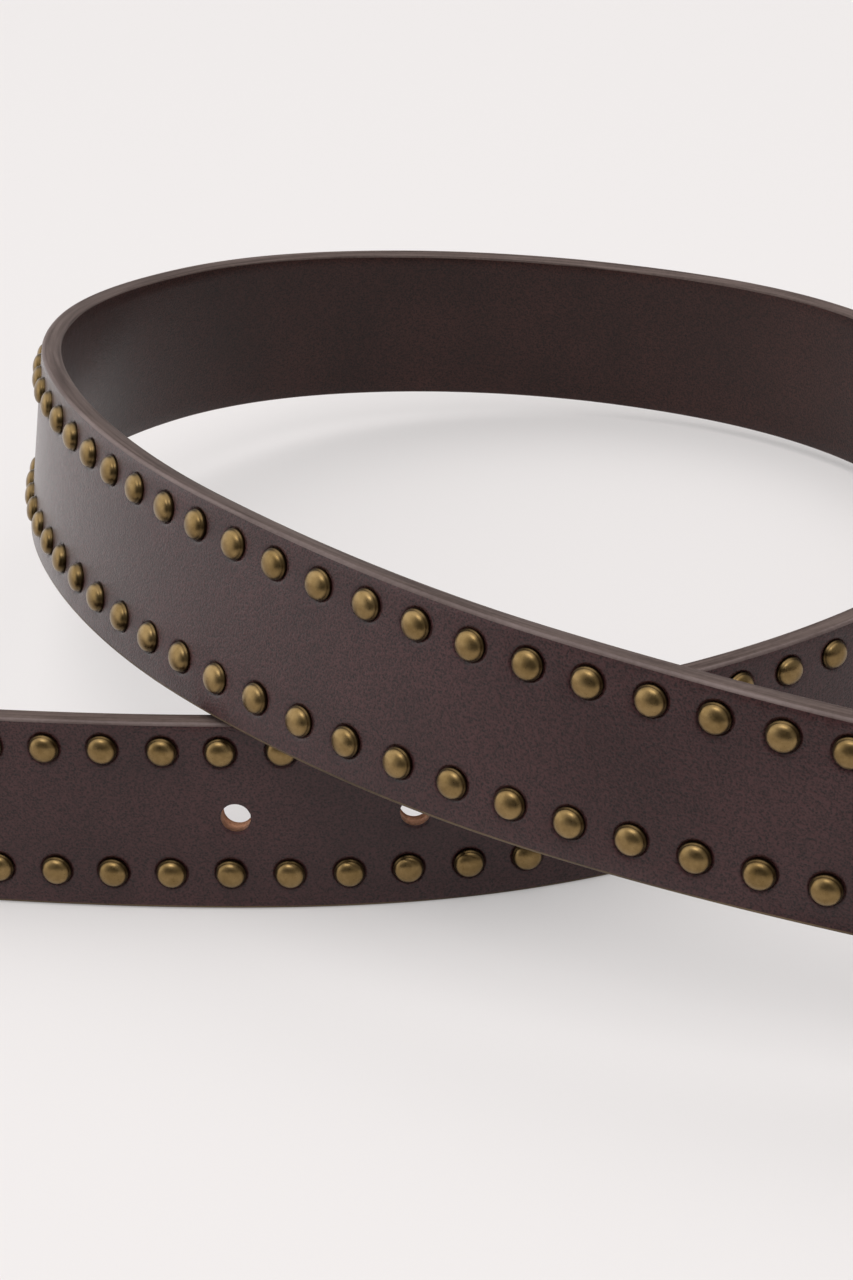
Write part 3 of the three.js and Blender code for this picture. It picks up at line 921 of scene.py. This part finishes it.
def sweep(points, faces, line, radii, normal, closed):
    """A round tube along a line in the plane square to normal, with flat ends if it is open."""
    line = np.array(line, float)
    ahead = np.roll(line, -1, 0) - line
    behind = line - np.roll(line, 1, 0)
    if not closed:
        ahead[-1] = behind[-1]
        behind[0] = ahead[0]
    way = ahead / np.linalg.norm(ahead, axis=1)[:, None]
    way = way + behind / np.linalg.norm(behind, axis=1)[:, None]
    way = ahead / np.linalg.norm(ahead, axis=1)[:, None] + behind / np.linalg.norm(behind, axis=1)[:, None]
    way /= np.linalg.norm(way, axis=1)[:, None]
    side_way = np.cross(way, normal)
    start = len(points)
    turns = [2 * math.pi * k / WIRE_SIDES for k in range(WIRE_SIDES)]
    for centre, lateral, radius in zip(line, side_way, radii):
        for angle in turns:
            spoke = math.cos(angle) * lateral + math.sin(angle) * np.array(normal)
            points.append(centre + radius * spoke)
    count = len(line)
    for i in range(count if closed else count - 1):
        ring = start + i * WIRE_SIDES
        after = start + (i + 1) % count * WIRE_SIDES
        for k in range(WIRE_SIDES):
            m = (k + 1) % WIRE_SIDES
            faces.append((ring + k, ring + m, after + m, after + k))
    if not closed:
        last = start + (count - 1) * WIRE_SIDES
        faces.append(tuple(start + k for k in reversed(range(WIRE_SIDES))))
        faces.append(tuple(last + k for k in range(WIRE_SIDES)))


def buckle_line():
    """The middle of the frame's wire, round its four corners from the far one."""
    line = []

    def corner(x, y, radius, start, steps):
        for i in range(steps + 1):
            angle = math.radians(start + 90 * i / steps)
            line.append((x + radius * math.cos(angle), y + radius * math.sin(angle), 0))

    far_x = FRAME_LENGTH - FAR_CORNER
    far_y = SIDE_OFFSET - FAR_CORNER
    bar_y = SIDE_OFFSET - BAR_CORNER
    corner(far_x, far_y, FAR_CORNER, 0, FAR_CORNER_STEPS)
    corner(BAR_CORNER, bar_y, BAR_CORNER, 90, BAR_CORNER_STEPS)
    corner(BAR_CORNER, -bar_y, BAR_CORNER, 180, BAR_CORNER_STEPS)
    corner(far_x, -far_y, FAR_CORNER, 270, FAR_CORNER_STEPS)
    return line


def make_buckle():
    points = []
    faces = []
    line = buckle_line()
    sweep(points, faces, line, [WIRE_RADIUS] * len(line), (0, 0, 1), True)
    tip_lift = WIRE_RADIUS + PRONG_RADIUS * PRONG_OVER_FRAME - PRONG_SEAT
    tip_x = FRAME_LENGTH + PRONG_RADIUS
    run = np.linspace(0, 1, PRONG_STEPS)
    prong = [(tip_x * t, 0, tip_lift * (t + PRONG_BOW * math.sin(math.pi * t))) for t in run]
    radii = PRONG_RADIUS * (1 - PRONG_TAPER * run)
    radii[-2:] *= PRONG_TIP
    sweep(points, faces, prong, radii, (0, 1, 0), False)
    placed = [(BAR + x * bar_along + y * bar_across + z * bar_out) * MM for x, y, z in points]
    data = bpy.data.meshes.new("wire_buckle")
    data.from_pydata([tuple(point) for point in placed], [], faces)
    data.polygons.foreach_set("use_smooth", [True] * len(faces))
    data.materials.append(brass_buckle)
    data.update()
    return add_object("wire_buckle", data)


strap = make_strap()
lower_studs = make_stud_row("studs_lower_row", 0)
upper_studs = make_stud_row("studs_upper_row", 1)
buckle = make_buckle()

for piece in (strap, lower_studs, upper_studs, buckle):
    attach(piece, "root")
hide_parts("studded_strap")
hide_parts("studded_strap")
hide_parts("studded_strap")
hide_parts("buckle")


# Floor, lights and camera, in metres
FLOOR_FRONT = -0.26
FLOOR_REACH = 3.0
FLOOR_DROP = 0.00005
FLOOR_COLOUR = (0.454, 0.429, 0.423, 1)
FLOOR_GLOW = (1.0, 0.988, 0.985, 1)
FLOOR_GLOW_STRENGTH = 0.31


def make_floor():
    """A plain pale tabletop, softly lit from within, whose front edge lies under the camera."""
    data = bpy.data.meshes.new("floor")
    front = [(-FLOOR_REACH, FLOOR_FRONT), (FLOOR_REACH, FLOOR_FRONT)]
    rear = [(FLOOR_REACH, FLOOR_REACH), (-FLOOR_REACH, FLOOR_REACH)]
    data.from_pydata([(x, y, -FLOOR_DROP) for x, y in front + rear], [], [(0, 1, 2, 3)])
    material, _, shader = new_material("pale_floor")
    shader.inputs["Base Color"].default_value = FLOOR_COLOUR
    shader.inputs["Emission Color"].default_value = FLOOR_GLOW
    shader.inputs["Emission Strength"].default_value = FLOOR_GLOW_STRENGTH
    shader.inputs["Roughness"].default_value = 0.7
    shader.inputs["Specular IOR Level"].default_value = 0.2
    data.materials.append(material)
    return add_object("floor", data)


FRONT_LIGHT_PLACE = (-0.35, -0.85, 1.25)
FRONT_LIGHT_AIM = (-0.05, 0.0, 0.0)
FRONT_LIGHT_SIZE = (0.7, 0.5)
FRONT_LIGHT_POWER = 4.0


def make_front_light():
    data = bpy.data.lights.new("front", "AREA")
    data.shape = "RECTANGLE"
    data.size, data.size_y = FRONT_LIGHT_SIZE
    data.energy = FRONT_LIGHT_POWER
    thing = add_object("front", data)
    thing.location = FRONT_LIGHT_PLACE
    beam = Vector(FRONT_LIGHT_AIM) - Vector(FRONT_LIGHT_PLACE)
    thing.rotation_euler = beam.to_track_quat("-Z", "Y").to_euler()


# The surroundings' grey tones, and those of each soft cone of them, as [direction, cosine of the
# angle at its edge, cosine at its middle, tone]
SURROUND_TONE = 0.36
CONES = (
    ((-0.10, 0.02, 0.99), 0.60, 0.98, 2.20),
    ((-0.93, 0.20, 0.31), 0.55, 0.95, 1.65),
    ((-0.25, -0.96, -0.02), 0.78, 0.94, 0.07),
)
BACKDROP = (0.886, 0.853, 0.844)


def towards(tree, way, direction, low, high):
    """How far a direction lies within a soft cone, from 0 outside to 1 at its middle."""
    facing = node(tree, "ShaderNodeVectorMath", {0: way, 1: direction}, operation="DOT_PRODUCT")
    keys = {"Value": facing.outputs["Value"], "From Min": low, "From Max": high}
    cone = node(tree, "ShaderNodeMapRange", keys)
    cone.interpolation_type = "SMOOTHSTEP"
    return cone.outputs[0]


def make_world():
    """Pale surroundings, brighter above and on the left, with the unlit room behind the camera."""
    world = bpy.data.worlds.new("studio")
    bpy.context.scene.world = world
    world.use_nodes = True
    tree = world.node_tree
    sky = tree.nodes["Background"]
    way = node(tree, "ShaderNodeTexCoord").outputs["Generated"]
    tone = (SURROUND_TONE,) * 3
    for direction, low, high, grey in CONES:
        tone = mix(tree, towards(tree, way, direction, low, high), tone, (grey,) * 3)
    seen = node(tree, "ShaderNodeLightPath").outputs["Is Camera Ray"]
    tree.links.new(mix(tree, seen, tone, BACKDROP), sky.inputs["Color"])
    sky.inputs["Strength"].default_value = 1.0


CAMERA_PLACE = (-0.1084, -0.4027, 0.2159)
CAMERA_TURN = -0.04
CAMERA_DOWN = 26.79
CAMERA_ROLL = -3.07
CAMERA_NEAR = 0.01
FOCAL_PIXELS = 2747
IMAGE_LONG_SIDE = 1280
SENSOR = 36.0


def make_camera():
    data = bpy.data.cameras.new("camera")
    data.sensor_width = SENSOR
    data.lens = FOCAL_PIXELS * SENSOR / IMAGE_LONG_SIDE
    data.clip_start = CAMERA_NEAR
    thing = add_object("camera", data)
    turn = Matrix.Rotation(math.radians(CAMERA_TURN), 4, "Z")
    down = Matrix.Rotation(math.radians(90 - CAMERA_DOWN), 4, "X")
    roll = Matrix.Rotation(math.radians(CAMERA_ROLL), 4, "Z")
    thing.matrix_world = Matrix.Translation(CAMERA_PLACE) @ turn @ down @ roll
    bpy.context.scene.camera = thing


floor = make_floor()
make_front_light()
make_world()
make_camera()
bpy.context.scene.view_settings.view_transform = "Standard"
